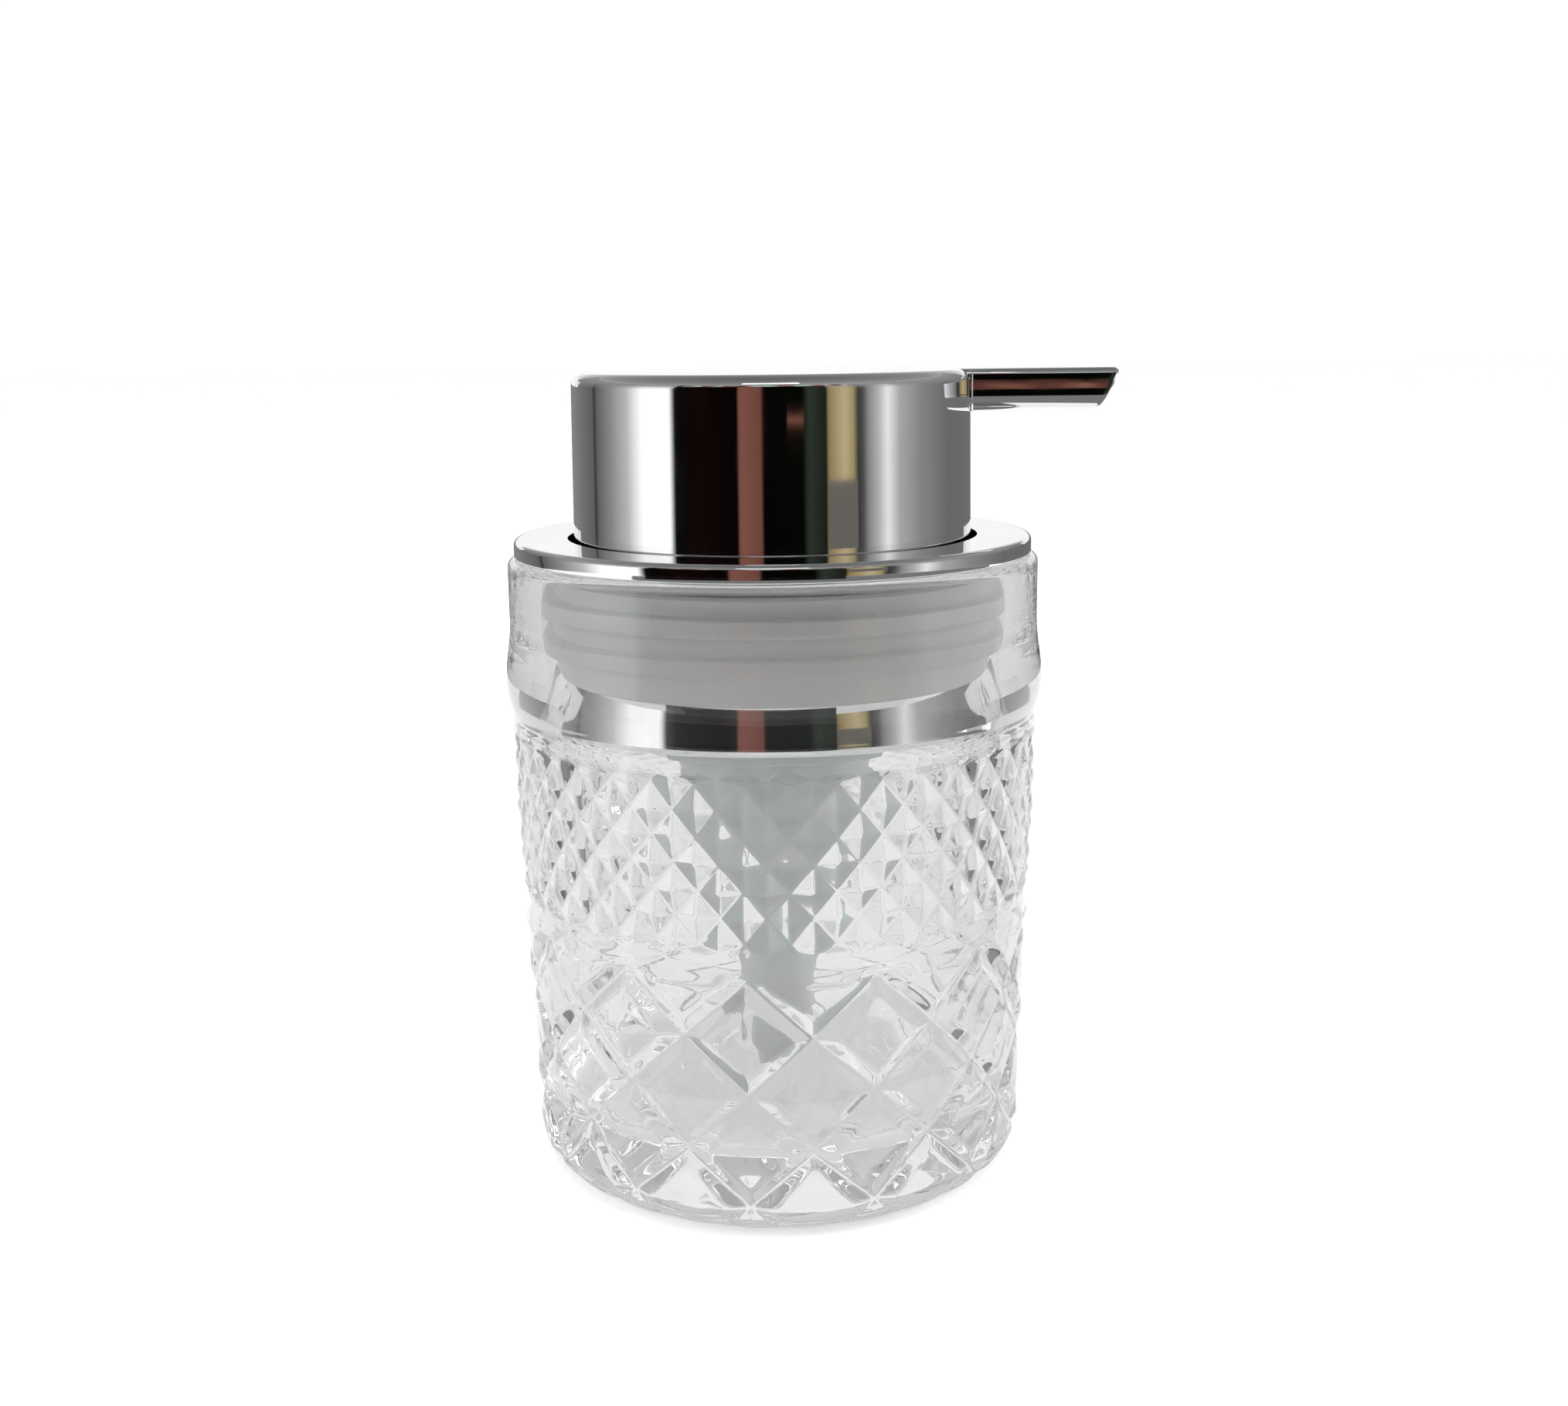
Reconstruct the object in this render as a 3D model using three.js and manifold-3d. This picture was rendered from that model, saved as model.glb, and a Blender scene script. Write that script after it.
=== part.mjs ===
// Countertop soap pump dispenser: a pressed-glass jar, a chrome cup that plugs into its
// mouth, a round chrome press head with a flush side spout, and a stepped plastic pump engine.
// Units are millimetres and +Z is up. The origin is the centre of the jar's flat underside,
// and the spout points along +X. Everything except the spout arm is turned around the Z axis.
import * as THREE from 'three';
import * as BufferGeometryUtils from 'three/addons/utils/BufferGeometryUtils.js';
import Module from 'manifold-3d';

const wasm = await Module();
wasm.setup();

// ---- Driving dimensions ----
const TOTAL_HEIGHT = 112;
const GAP = 0.3;                 // space left between pieces that touch
const STROKE = 13;               // travel of the press head

const JAR_HEIGHT = 86.8;
const JAR_BASE_R = 35.5;
const JAR_BASE_CORNER = 5;
const JAR_NECK_R = 37.05;
const JAR_BULGE_R = 37.85;
const JAR_MOUTH_R = 33.4;        // inside, at the rim
const JAR_INNER_BASE_R = 31.4;   // inside, just above the floor
const JAR_FLOOR = 9;
const JAR_FLOOR_CORNER = 6;

const FLANGE_R = 36.1;           // chrome flange that covers the glass rim
const FLANGE_THICK = 2.4;
const CUP_R = 29.9;              // chrome tube below the flange
const CUP_BOTTOM = 64.8;
const CUP_WALL = 1.3;

const HEAD_R = 27.75;
const HEAD_TOP_R = 27.5;         // the drum narrows slightly towards its top
const HEAD_WALL = 1.2;
const HEAD_TOP_THICK = 1;
const HEAD_EDGE = 1.8;           // rounding of the top edge
const HEAD_SKIRT = 8;            // length of the head that stays inside the cup

const SPOUT_REACH = 47.4;        // from the Z axis to the tip
const SPOUT_ROOT = 23.4;         // inner end, let into the head's top edge
const SPOUT_HEIGHT = 5.8;
const SPOUT_WIDTH = 9.2;
const SPOUT_BORE_R = 2;
const SPOUT_BORE_BELOW_TOP = 3.2;

const CHAMBER_R = 13.9;          // wide air chamber of the pump housing
const CHAMBER_BOTTOM = 50.5;     // where its wall starts to round in
const CYLINDER_R = 5.6;          // narrow liquid cylinder below it
const CYLINDER_TOP = 39.2;
const CYLINDER_BOTTOM = 21;
const SLEEVE_TOP = 51.2;         // the cylinder goes on up inside the chamber as a sleeve
const HOUSING_WALL = 1.2;
const HOUSING_TOP = 75.5;
const STEM_R = 2.6;
const STEM_BORE_R = 1.1;
const DIP_TUBE_R = 2.9;
const DIP_TUBE_BORE_R = 2.1;
const DIP_TUBE_BOTTOM = 10.6;
const INLET_BALL_R = 1.8;
const OUTLET_BALL_R = 1.2;
const SPRING_COIL_R = 3.3;
const SPRING_WIRE_R = 0.4;
const SPRING_TURNS = 6;

// ---- Levels and radii that follow from them ----
const FLANGE_BOTTOM = JAR_HEIGHT + GAP;
const FLANGE_TOP = FLANGE_BOTTOM + FLANGE_THICK;
const CUP_FLOOR = CUP_BOTTOM + CUP_WALL;
const CUP_INNER_R = CUP_R - CUP_WALL;
const HEAD_BOTTOM = FLANGE_TOP - HEAD_SKIRT;
const HEAD_INNER_R = HEAD_R - HEAD_WALL;
const HEAD_CEILING = TOTAL_HEIGHT - HEAD_TOP_THICK;
const SPOUT_BOTTOM = TOTAL_HEIGHT - SPOUT_HEIGHT;
const SPOUT_BORE_Z = TOTAL_HEIGHT - SPOUT_BORE_BELOW_TOP;
const CHAMBER_BORE_R = CHAMBER_R - HOUSING_WALL;
const CYLINDER_BORE_R = CYLINDER_R - HOUSING_WALL;
const ROUND_CHAMBER_GAP_R = CHAMBER_R + GAP;   // bore of the rings around the chamber
const CUP_HOLE_R = CHAMBER_R + 0.7;            // hole for the pump engine in the cup floor
const HOUSING_FLANGE_R = CHAMBER_R + 3.1;
const STEM_CLEARANCE_R = STEM_R + GAP;
const CORE_HUB_R = 6.2;
const CORE_DISC_TOP = SPOUT_BOTTOM - GAP;
const CORE_SOCKET_TOP = CORE_DISC_TOP + 0.2;
const STEM_TOP = CORE_SOCKET_TOP - GAP;
const PISTON_BOTTOM = 46.6;
const PISTON_TOP = SLEEVE_TOP - GAP;
const PISTON_RECESS = PISTON_TOP - 2.2;        // floor of the recess that takes the stem
const STEM_BOTTOM = PISTON_RECESS + GAP;
const INLET_SEAT = 21.2;                       // narrow end of the inlet valve's cone
const INLET_SEAT_TOP = 23.4;
const CAGE_TOP = 27.2;
const SPRING_BOTTOM = CAGE_TOP + GAP;
const SPRING_TOP = PISTON_BOTTOM - GAP;

// ---- Segments around the axis ----
const WIDE = 40;
const MIDDLE = 24;
const NARROW = 16;

// ---- Finishes ----
const FINISHES = {
  glass: { color: 0xeaf0f0, roughness: 0.03, metalness: 0 },
  chrome: { color: 0xd8dadc, roughness: 0.05, metalness: 1 },
  seal: { color: 0xc9cac8, roughness: 0.45, metalness: 0 },
  frosted: { color: 0xdcdddb, roughness: 0.4, metalness: 0 },
  plastic: { color: 0xf2f2ee, roughness: 0.35, metalness: 0 },
  rubber: { color: 0xb9bab8, roughness: 0.7, metalness: 0 },
  steel: { color: 0xb8babd, roughness: 0.25, metalness: 1 },
};

// ---- Helpers ----
const point = (r, z) => new THREE.Vector2(r, z);

// Points along a round corner, in degrees from the outward direction.
function corner(centreR, centreZ, radius, fromDeg, toDeg, steps) {
  const points = [];
  for (let i = 0; i <= steps; i += 1) {
    const angle = THREE.MathUtils.degToRad(fromDeg + ((toDeg - fromDeg) * i) / steps);
    points.push(point(centreR + radius * Math.cos(angle), centreZ + radius * Math.sin(angle)));
  }
  return points;
}

// A body turned around Z. Its outline runs anticlockwise in (radius, height), and either
// starts and ends on the axis or is closed here.
function turned(outline, segments) {
  const points = outline[0].x === 0 ? outline : [...outline, outline[0].clone()];
  return new THREE.LatheGeometry(points, segments).rotateX(Math.PI / 2);
}

function ring(innerR, outerR, bottom, top, segments) {
  const outline = [point(innerR, bottom), point(outerR, bottom), point(outerR, top), point(innerR, top)];
  return turned(outline, segments);
}

function ball(radius, z) {
  return new THREE.SphereGeometry(radius, 12, 8).translate(0, 0, z);
}

// A cylinder lying along X.
function barAlongX(radius, fromX, toX, z) {
  return new THREE.CylinderGeometry(radius, radius, toX - fromX, NARROW)
    .rotateZ(Math.PI / 2)
    .translate((fromX + toX) / 2, 0, z);
}

function toSolid(geometry) {
  const bare = geometry.clone();
  bare.deleteAttribute('normal');
  bare.deleteAttribute('uv');
  const merged = BufferGeometryUtils.mergeVertices(bare);
  return new wasm.Manifold(new wasm.Mesh({
    numProp: 3,
    vertProperties: new Float32Array(merged.attributes.position.array),
    triVerts: new Uint32Array(merged.index.array),
  }));
}

function toGeometry(solid) {
  const mesh = solid.getMesh();
  const geometry = new THREE.BufferGeometry();
  geometry.setAttribute('position', new THREE.BufferAttribute(mesh.vertProperties, 3));
  geometry.setIndex(new THREE.BufferAttribute(mesh.triVerts, 1));
  geometry.computeVertexNormals();
  return geometry;
}

// ---- Jar ----
// The outside rises from a rounded base through a band for the large cut diamonds, a plain
// groove, a band for the small cut diamonds and a soft bulge to a straight neck.
function jarGeometry() {
  const grooveZ = 38.2;
  const grooveR = 36;
  const bandEdgeR = 36.4;
  const smallBandR = 36.95;
  const rimRound = 1;
  const mouthRound = 0.6;
  const floorR = JAR_INNER_BASE_R - JAR_FLOOR_CORNER;
  const outline = [
    point(0, 0),
    ...corner(JAR_BASE_R - JAR_BASE_CORNER, JAR_BASE_CORNER, JAR_BASE_CORNER, -90, 0, 4),
    point(JAR_BASE_R, 14),
    point(bandEdgeR, grooveZ - 3),
    point(grooveR, grooveZ - 1),
    point(grooveR, grooveZ + 1),
    point(bandEdgeR, grooveZ + 2.4),
    point(smallBandR, 52),
    point(smallBandR, 63.5),
    point(JAR_BULGE_R - 0.4, 66.5),
    point(JAR_BULGE_R, 69),
    point(JAR_BULGE_R, 71.5),
    point(JAR_NECK_R, 76),
    ...corner(JAR_NECK_R - rimRound, JAR_HEIGHT - rimRound, rimRound, 0, 90, 2),
    ...corner(JAR_MOUTH_R + mouthRound, JAR_HEIGHT - mouthRound, mouthRound, 90, 180, 2),
    ...corner(floorR, JAR_FLOOR + JAR_FLOOR_CORNER, JAR_FLOOR_CORNER, 0, -90, 3),
    point(0, JAR_FLOOR),
  ];
  return turned(outline, WIDE);
}

// Plug between the cup and the glass, with wide ribs that press on the jar's mouth. The cup's
// chrome wall shows above it.
function mouthSealGeometry() {
  const innerR = CUP_R + GAP;
  const bodyR = 31.2;
  const ribR = JAR_MOUTH_R - 2 * GAP;
  const ribHeight = 2.9;
  const ribPitch = 5.15;
  const ribCount = 2;
  const bottom = 70.6;
  const top = JAR_HEIGHT - 2.2;
  const firstRib = 74.2;
  const outline = [point(innerR, bottom), point(bodyR - 0.5, bottom), point(bodyR, bottom + 0.6)];
  for (let i = 0; i < ribCount; i += 1) {
    const z = firstRib + i * ribPitch;
    outline.push(point(bodyR, z), point(ribR, z + 0.8));
    outline.push(point(ribR, z + ribHeight - 0.2), point(bodyR, z + ribHeight));
  }
  outline.push(point(bodyR, top), point(innerR, top));
  return turned(outline, WIDE);
}

// ---- Chrome cup and its flange ----
function cupGeometry() {
  const flangeEdge = 1.3;
  const cupCorner = 1;
  const lipRound = 0.4;
  const outline = [
    point(CUP_HOLE_R, CUP_BOTTOM),
    ...corner(CUP_R - cupCorner, CUP_BOTTOM + cupCorner, cupCorner, -90, 0, 2),
    point(CUP_R, FLANGE_BOTTOM),
    point(FLANGE_R - 0.3, FLANGE_BOTTOM),
    point(FLANGE_R, FLANGE_BOTTOM + 0.3),
    ...corner(FLANGE_R - flangeEdge, FLANGE_TOP - flangeEdge, flangeEdge, 0, 90, 4),
    ...corner(CUP_INNER_R + lipRound, FLANGE_TOP - lipRound, lipRound, 90, 180, 2),
    point(CUP_INNER_R, CUP_FLOOR),
    point(CUP_HOLE_R, CUP_FLOOR),
  ];
  return turned(outline, WIDE);
}

// ---- Press head ----
// The spout's section across X: a flat top with small edges and a deep round underside.
function spoutArm(fromX, toX, grow) {
  const half = SPOUT_WIDTH / 2 + grow;
  const top = TOTAL_HEIGHT + grow * 4;
  const bottom = SPOUT_BOTTOM - grow;
  const topRound = 0.9;
  const underRound = 2.4;
  const section = new THREE.Shape();
  section.absarc(half - underRound, bottom + underRound, underRound, -Math.PI / 2, 0);
  section.absarc(half - topRound, top - topRound, topRound, 0, Math.PI / 2);
  section.absarc(topRound - half, top - topRound, topRound, Math.PI / 2, Math.PI);
  section.absarc(underRound - half, bottom + underRound, underRound, Math.PI, 1.5 * Math.PI);
  const along = { depth: toX - fromX, bevelEnabled: false, curveSegments: 5 };
  const arm = new THREE.ExtrudeGeometry(section, along);
  return toSolid(arm.rotateX(Math.PI / 2).rotateZ(Math.PI / 2).translate(fromX, 0, 0));
}

// The drum is open below. A notch in its top edge holds the spout's root.
function headGeometry() {
  const drum = turned([
    point(0, HEAD_CEILING),
    point(HEAD_INNER_R, HEAD_CEILING),
    point(HEAD_INNER_R, HEAD_BOTTOM),
    point(HEAD_R, HEAD_BOTTOM),
    point(HEAD_R, FLANGE_TOP),
    ...corner(HEAD_TOP_R - HEAD_EDGE, TOTAL_HEIGHT - HEAD_EDGE, HEAD_EDGE, 0, 90, 4),
    point(0, TOTAL_HEIGHT),
  ], WIDE);
  return toGeometry(toSolid(drum).subtract(spoutArm(SPOUT_ROOT - GAP, HEAD_R + 2, GAP)));
}

// Seen from the side, the tip has a thin lip on top and is cut back below it.
function spoutGeometry() {
  const lipThick = 1;
  const lipReach = 0.6;
  const cutBack = 2.4;
  const side = new THREE.Shape([
    point(SPOUT_ROOT, SPOUT_BOTTOM),
    point(SPOUT_REACH - cutBack - 0.5, SPOUT_BOTTOM),
    point(SPOUT_REACH - cutBack, SPOUT_BOTTOM + 0.3),
    point(SPOUT_REACH - lipReach, TOTAL_HEIGHT - 2.2),
    point(SPOUT_REACH - lipReach, TOTAL_HEIGHT - lipThick - 0.2),
    point(SPOUT_REACH, TOTAL_HEIGHT - lipThick + 0.2),
    point(SPOUT_REACH, TOTAL_HEIGHT - 0.4),
    point(SPOUT_REACH - 0.5, TOTAL_HEIGHT),
    point(SPOUT_ROOT, TOTAL_HEIGHT),
  ]);
  const blank = new THREE.ExtrudeGeometry(side, { depth: 2 * SPOUT_WIDTH, bevelEnabled: false })
    .rotateX(Math.PI / 2)
    .translate(0, SPOUT_WIDTH, 0);
  const bore = toSolid(barAlongX(SPOUT_BORE_R, SPOUT_ROOT - 1, SPOUT_REACH + 1, SPOUT_BORE_Z));
  return toGeometry(spoutArm(SPOUT_ROOT, SPOUT_REACH, 0).intersect(toSolid(blank)).subtract(bore));
}

function dischargeTubeGeometry() {
  const outerR = SPOUT_BORE_R - GAP;
  const innerR = 1.1;
  const start = CORE_HUB_R + GAP;
  const end = SPOUT_REACH - 3.2;
  const tube = toSolid(barAlongX(outerR, start, end, SPOUT_BORE_Z));
  return toGeometry(tube.subtract(toSolid(barAlongX(innerR, start - 1, end + 1, SPOUT_BORE_Z))));
}

// Moulded insert inside the drum: a hub with the stem's socket, a disc and radial ribs.
function headCoreGeometry() {
  const hubBottom = HOUSING_TOP + STROKE + 5;
  const hubTop = HEAD_CEILING - GAP;
  const discR = HEAD_INNER_R - GAP;
  const discThick = 1.5;
  const ribCount = 4;
  const ribHeight = 6;
  const ribThick = 1.2;
  const ribOuterR = discR - 2;
  const portR = 1.2;
  let core = toSolid(turned([
    point(0, CORE_SOCKET_TOP),
    point(STEM_CLEARANCE_R, CORE_SOCKET_TOP),
    point(STEM_CLEARANCE_R, hubBottom),
    point(CORE_HUB_R, hubBottom),
    point(CORE_HUB_R, CORE_DISC_TOP - discThick),
    point(discR, CORE_DISC_TOP - discThick),
    point(discR, CORE_DISC_TOP),
    point(CORE_HUB_R, CORE_DISC_TOP),
    point(CORE_HUB_R, hubTop),
    point(0, hubTop),
  ], MIDDLE));
  for (let i = 0; i < ribCount; i += 1) {
    const length = ribOuterR - CORE_HUB_R + 1;
    const rib = new THREE.BoxGeometry(length, ribThick, ribHeight)
      .translate(ribOuterR - length / 2, 0, CORE_DISC_TOP - discThick - ribHeight / 2 + 0.2)
      .rotateZ(((i + 0.5) * 2 * Math.PI) / ribCount);
    core = core.add(toSolid(rib));
  }
  const rise = new THREE.CylinderGeometry(portR, portR, SPOUT_BORE_Z - CORE_SOCKET_TOP + 1, NARROW)
    .rotateX(Math.PI / 2)
    .translate(0, 0, (SPOUT_BORE_Z + CORE_SOCKET_TOP - 1) / 2);
  const outlet = barAlongX(portR, 0, CORE_HUB_R + 1, SPOUT_BORE_Z);
  return toGeometry(core.subtract(toSolid(rise)).subtract(toSolid(outlet)));
}

// ---- Moving pieces of the pump engine ----
// The stem's bore is wider at the foot, where the outlet ball lifts.
function stemGeometry() {
  const footBoreR = 1.5;
  const footBoreTop = STEM_BOTTOM + 2.6;
  return turned([
    point(footBoreR, STEM_BOTTOM),
    point(STEM_R, STEM_BOTTOM),
    point(STEM_R, STEM_TOP),
    point(STEM_BORE_R, STEM_TOP),
    point(STEM_BORE_R, footBoreTop),
    point(footBoreR, footBoreTop),
  ], NARROW);
}

// The recess takes the stem, and the cone in its floor is the outlet ball's seat.
function liquidPistonGeometry() {
  const portR = 0.9;
  const seatR = 1.45;
  const seatDepth = 0.8;
  const outerR = CYLINDER_BORE_R - GAP;
  return turned([
    point(portR, PISTON_BOTTOM),
    point(outerR, PISTON_BOTTOM),
    point(outerR, PISTON_TOP),
    point(STEM_CLEARANCE_R, PISTON_TOP),
    point(STEM_CLEARANCE_R, PISTON_RECESS),
    point(seatR, PISTON_RECESS),
    point(portR, PISTON_RECESS - seatDepth),
  ], MIDDLE);
}

function airPistonGeometry() {
  const bottom = 66.5;
  const top = HOUSING_TOP - 1;
  const hubR = 4.2;
  const discBottom = bottom + 2.5;
  const discTop = discBottom + 1.4;
  const lipR = CHAMBER_BORE_R - GAP;
  const lipThick = 0.9;
  return turned([
    point(STEM_CLEARANCE_R, bottom),
    point(hubR, bottom),
    point(hubR, discBottom),
    point(lipR - lipThick, discBottom),
    point(lipR - 0.3, discBottom - 2),
    point(lipR, discBottom - 2),
    point(lipR, discTop + 2),
    point(lipR - 0.3, discTop + 2),
    point(lipR - lipThick, discTop),
    point(hubR, discTop),
    point(hubR, top),
    point(STEM_CLEARANCE_R, top),
  ], MIDDLE);
}

class Helix extends THREE.Curve {
  getPoint(t, target = new THREE.Vector3()) {
    const angle = 2 * Math.PI * SPRING_TURNS * t;
    const bottom = SPRING_BOTTOM + SPRING_WIRE_R;
    const rise = SPRING_TOP - SPRING_BOTTOM - 2 * SPRING_WIRE_R;
    return target.set(SPRING_COIL_R * Math.cos(angle), SPRING_COIL_R * Math.sin(angle), bottom + rise * t);
  }
}

function springGeometry() {
  const stepsPerTurn = 12;
  const wire = new THREE.Shape().absarc(0, 0, SPRING_WIRE_R, 0, 2 * Math.PI);
  return new THREE.ExtrudeGeometry(wire, {
    steps: SPRING_TURNS * stepsPerTurn,
    curveSegments: 3,
    bevelEnabled: false,
    extrudePath: new Helix(),
  });
}

// ---- Fixed pieces of the pump engine ----
// The rounded floor of the air chamber, as a quarter of an ellipse from the inside up to the wall.
function chamberFloor(innerR, low, outerR, high) {
  const steps = 4;
  const points = [];
  for (let i = 0; i <= steps; i += 1) {
    const angle = ((i / steps - 1) * Math.PI) / 2;
    points.push(point(innerR + (outerR - innerR) * Math.cos(angle), high + (high - low) * Math.sin(angle)));
  }
  return points;
}

// From the top: a neck for the guide cap, a flange that sits in the cup, the air chamber,
// the liquid cylinder, the inlet valve's cone and a socket for the dip tube.
function housingGeometry() {
  const sleeveFoot = CYLINDER_TOP + HOUSING_WALL + 0.3;
  const flangeBottom = CUP_FLOOR + 1.3;
  const flangeTop = flangeBottom + 1.6;
  const nozzleR = 4.4;
  const nozzleBottom = 15.5;
  const socketR = DIP_TUBE_R + GAP;
  const socketTop = 20.4;
  const portR = 1.1;
  const seatR = 2.6;
  const endRound = 0.8;
  return turned([
    point(socketR, nozzleBottom),
    point(nozzleR, nozzleBottom),
    point(nozzleR, CYLINDER_BOTTOM),
    ...corner(CYLINDER_R - endRound, CYLINDER_BOTTOM + endRound, endRound, -90, 0, 2),
    ...chamberFloor(CYLINDER_R, CYLINDER_TOP, CHAMBER_R, CHAMBER_BOTTOM),
    point(CHAMBER_R, flangeBottom),
    point(HOUSING_FLANGE_R, flangeBottom),
    point(HOUSING_FLANGE_R, flangeTop),
    point(CHAMBER_R, flangeTop),
    point(CHAMBER_R, HOUSING_TOP),
    point(CHAMBER_BORE_R, HOUSING_TOP),
    ...chamberFloor(CYLINDER_R, sleeveFoot, CHAMBER_BORE_R, CHAMBER_BOTTOM).reverse(),
    point(CYLINDER_R, SLEEVE_TOP),
    point(CYLINDER_BORE_R, SLEEVE_TOP),
    point(CYLINDER_BORE_R, INLET_SEAT_TOP),
    point(seatR, INLET_SEAT_TOP),
    point(portR, INLET_SEAT),
    point(portR, socketTop),
    point(socketR, socketTop),
  ], MIDDLE);
}

// Snaps over the housing's neck and guides the stem.
function guideCapGeometry() {
  const capR = CHAMBER_R + 1.5;
  const skirtBottom = 69.4;
  const plateBottom = HOUSING_TOP + GAP;
  const plateTop = plateBottom + 1.6;
  const wiperBoreR = 5.2;
  const edge = 0.5;
  return turned([
    point(wiperBoreR, plateBottom),
    point(ROUND_CHAMBER_GAP_R, plateBottom),
    point(ROUND_CHAMBER_GAP_R, skirtBottom),
    point(capR, skirtBottom),
    ...corner(capR - edge, plateTop - edge, edge, 0, 90, 2),
    point(wiperBoreR, plateTop),
  ], MIDDLE);
}

// Clamps the cup's floor from below, with a rounded lower edge.
function clampRingGeometry() {
  const ringR = 15.3;
  const bottom = 58.7;
  const top = CUP_BOTTOM - GAP;
  const lowerRound = 0.8;
  return turned([
    point(ROUND_CHAMBER_GAP_R, bottom),
    ...corner(ringR - lowerRound, bottom + lowerRound, lowerRound, -90, 0, 3),
    point(ringR, top),
    point(ROUND_CHAMBER_GAP_R, top),
  ], MIDDLE);
}

// Keeps the inlet ball in its seat and carries the spring.
function ballCageGeometry() {
  const outerR = CYLINDER_BORE_R - GAP;
  const pocketR = 2.8;
  const holeR = 1.3;
  const bottom = INLET_SEAT_TOP + GAP;
  const pocketTop = CAGE_TOP - 1.2;
  return turned([
    point(pocketR, bottom),
    point(outerR, bottom),
    point(outerR, CAGE_TOP),
    point(holeR, CAGE_TOP),
    point(holeR, pocketTop),
    point(pocketR, pocketTop),
  ], MIDDLE);
}

// The dip tube's foot is cut at a slant so that it can't seal against the floor.
function dipTubeGeometry() {
  const top = 20.1;
  const slantDeg = 32;
  const cutter = 20;
  const tube = toSolid(ring(DIP_TUBE_BORE_R, DIP_TUBE_R, DIP_TUBE_BOTTOM, top, NARROW));
  const slant = new THREE.BoxGeometry(cutter, cutter, cutter)
    .translate(cutter / 2 - DIP_TUBE_R, 0, -cutter / 2)
    .rotateY(THREE.MathUtils.degToRad(-slantDeg))
    .translate(-DIP_TUBE_R, 0, DIP_TUBE_BOTTOM);
  return toGeometry(tube.subtract(toSolid(slant)));
}

// ---- Assembly ----
const gasketBottom = CUP_FLOOR + GAP;
const gasketTop = gasketBottom + 0.7;
const wiperBottom = HOUSING_TOP + 2 * GAP;
const inletBallZ = 22.93;
const outletBallZ = 48.86;

const pieces = [
  ['glass_jar', jarGeometry(), 'glass'],
  ['mouth_seal', mouthSealGeometry(), 'seal'],
  ['chrome_cup', cupGeometry(), 'chrome'],
  ['press_head', headGeometry(), 'chrome'],
  ['spout', spoutGeometry(), 'chrome'],
  ['discharge_tube', dischargeTubeGeometry(), 'plastic'],
  ['head_core', headCoreGeometry(), 'plastic'],
  ['stem', stemGeometry(), 'plastic'],
  ['stem_wiper', ring(STEM_CLEARANCE_R, 4.9, wiperBottom, wiperBottom + 1, NARROW), 'rubber'],
  ['guide_cap', guideCapGeometry(), 'plastic'],
  ['floor_gasket', ring(ROUND_CHAMBER_GAP_R, HOUSING_FLANGE_R, gasketBottom, gasketTop, MIDDLE), 'rubber'],
  ['clamp_ring', clampRingGeometry(), 'frosted'],
  ['pump_housing', housingGeometry(), 'frosted'],
  ['air_piston', airPistonGeometry(), 'plastic'],
  ['liquid_piston', liquidPistonGeometry(), 'plastic'],
  ['outlet_ball', ball(OUTLET_BALL_R, outletBallZ), 'steel'],
  ['return_spring', springGeometry(), 'steel'],
  ['ball_cage', ballCageGeometry(), 'plastic'],
  ['inlet_ball', ball(INLET_BALL_R, inletBallZ), 'steel'],
  ['dip_tube', dipTubeGeometry(), 'frosted'],
];

const dispenser = new THREE.Group();
for (const [name, geometry, finish] of pieces) {
  const mesh = new THREE.Mesh(geometry, new THREE.MeshStandardMaterial(FINISHES[finish]));
  mesh.name = name;
  dispenser.add(mesh);
}

export default dispenser;
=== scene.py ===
"""Looks of the soap pump dispenser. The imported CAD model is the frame, in metres, +Z up.

The visible shells are built here as fine meshes of the same size as their CAD nodes.
Lengths in the builders below are in millimetres and become metres in mesh_piece().
"""
import math

import bpy
import numpy as np
from mathutils import Matrix, Vector


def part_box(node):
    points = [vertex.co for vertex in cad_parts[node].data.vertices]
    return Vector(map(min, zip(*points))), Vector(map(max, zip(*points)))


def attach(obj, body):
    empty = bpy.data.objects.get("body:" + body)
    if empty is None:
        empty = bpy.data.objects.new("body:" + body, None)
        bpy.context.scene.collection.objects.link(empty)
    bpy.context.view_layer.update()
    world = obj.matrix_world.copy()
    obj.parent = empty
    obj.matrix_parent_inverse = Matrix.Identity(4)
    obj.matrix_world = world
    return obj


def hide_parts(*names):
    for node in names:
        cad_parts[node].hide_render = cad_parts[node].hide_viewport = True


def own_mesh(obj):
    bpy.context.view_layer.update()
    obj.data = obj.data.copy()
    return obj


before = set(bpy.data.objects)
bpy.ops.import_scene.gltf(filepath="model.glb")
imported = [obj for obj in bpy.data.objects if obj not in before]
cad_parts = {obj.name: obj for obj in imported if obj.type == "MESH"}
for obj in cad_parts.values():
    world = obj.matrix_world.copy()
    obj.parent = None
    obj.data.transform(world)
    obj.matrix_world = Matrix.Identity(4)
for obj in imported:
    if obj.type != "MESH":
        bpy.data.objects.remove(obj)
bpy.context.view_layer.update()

MM = 0.001
SEGMENTS = 192          # around every turned piece


# ---- Sizes read from the frame, in millimetres ----
def extents(node):
    low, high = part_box(node)
    return [v / MM for v in low], [v / MM for v in high]


def radius(node):
    return extents(node)[1][1]


def bottom(node):
    return extents(node)[0][2]


def top(node):
    return extents(node)[1][2]


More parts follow.
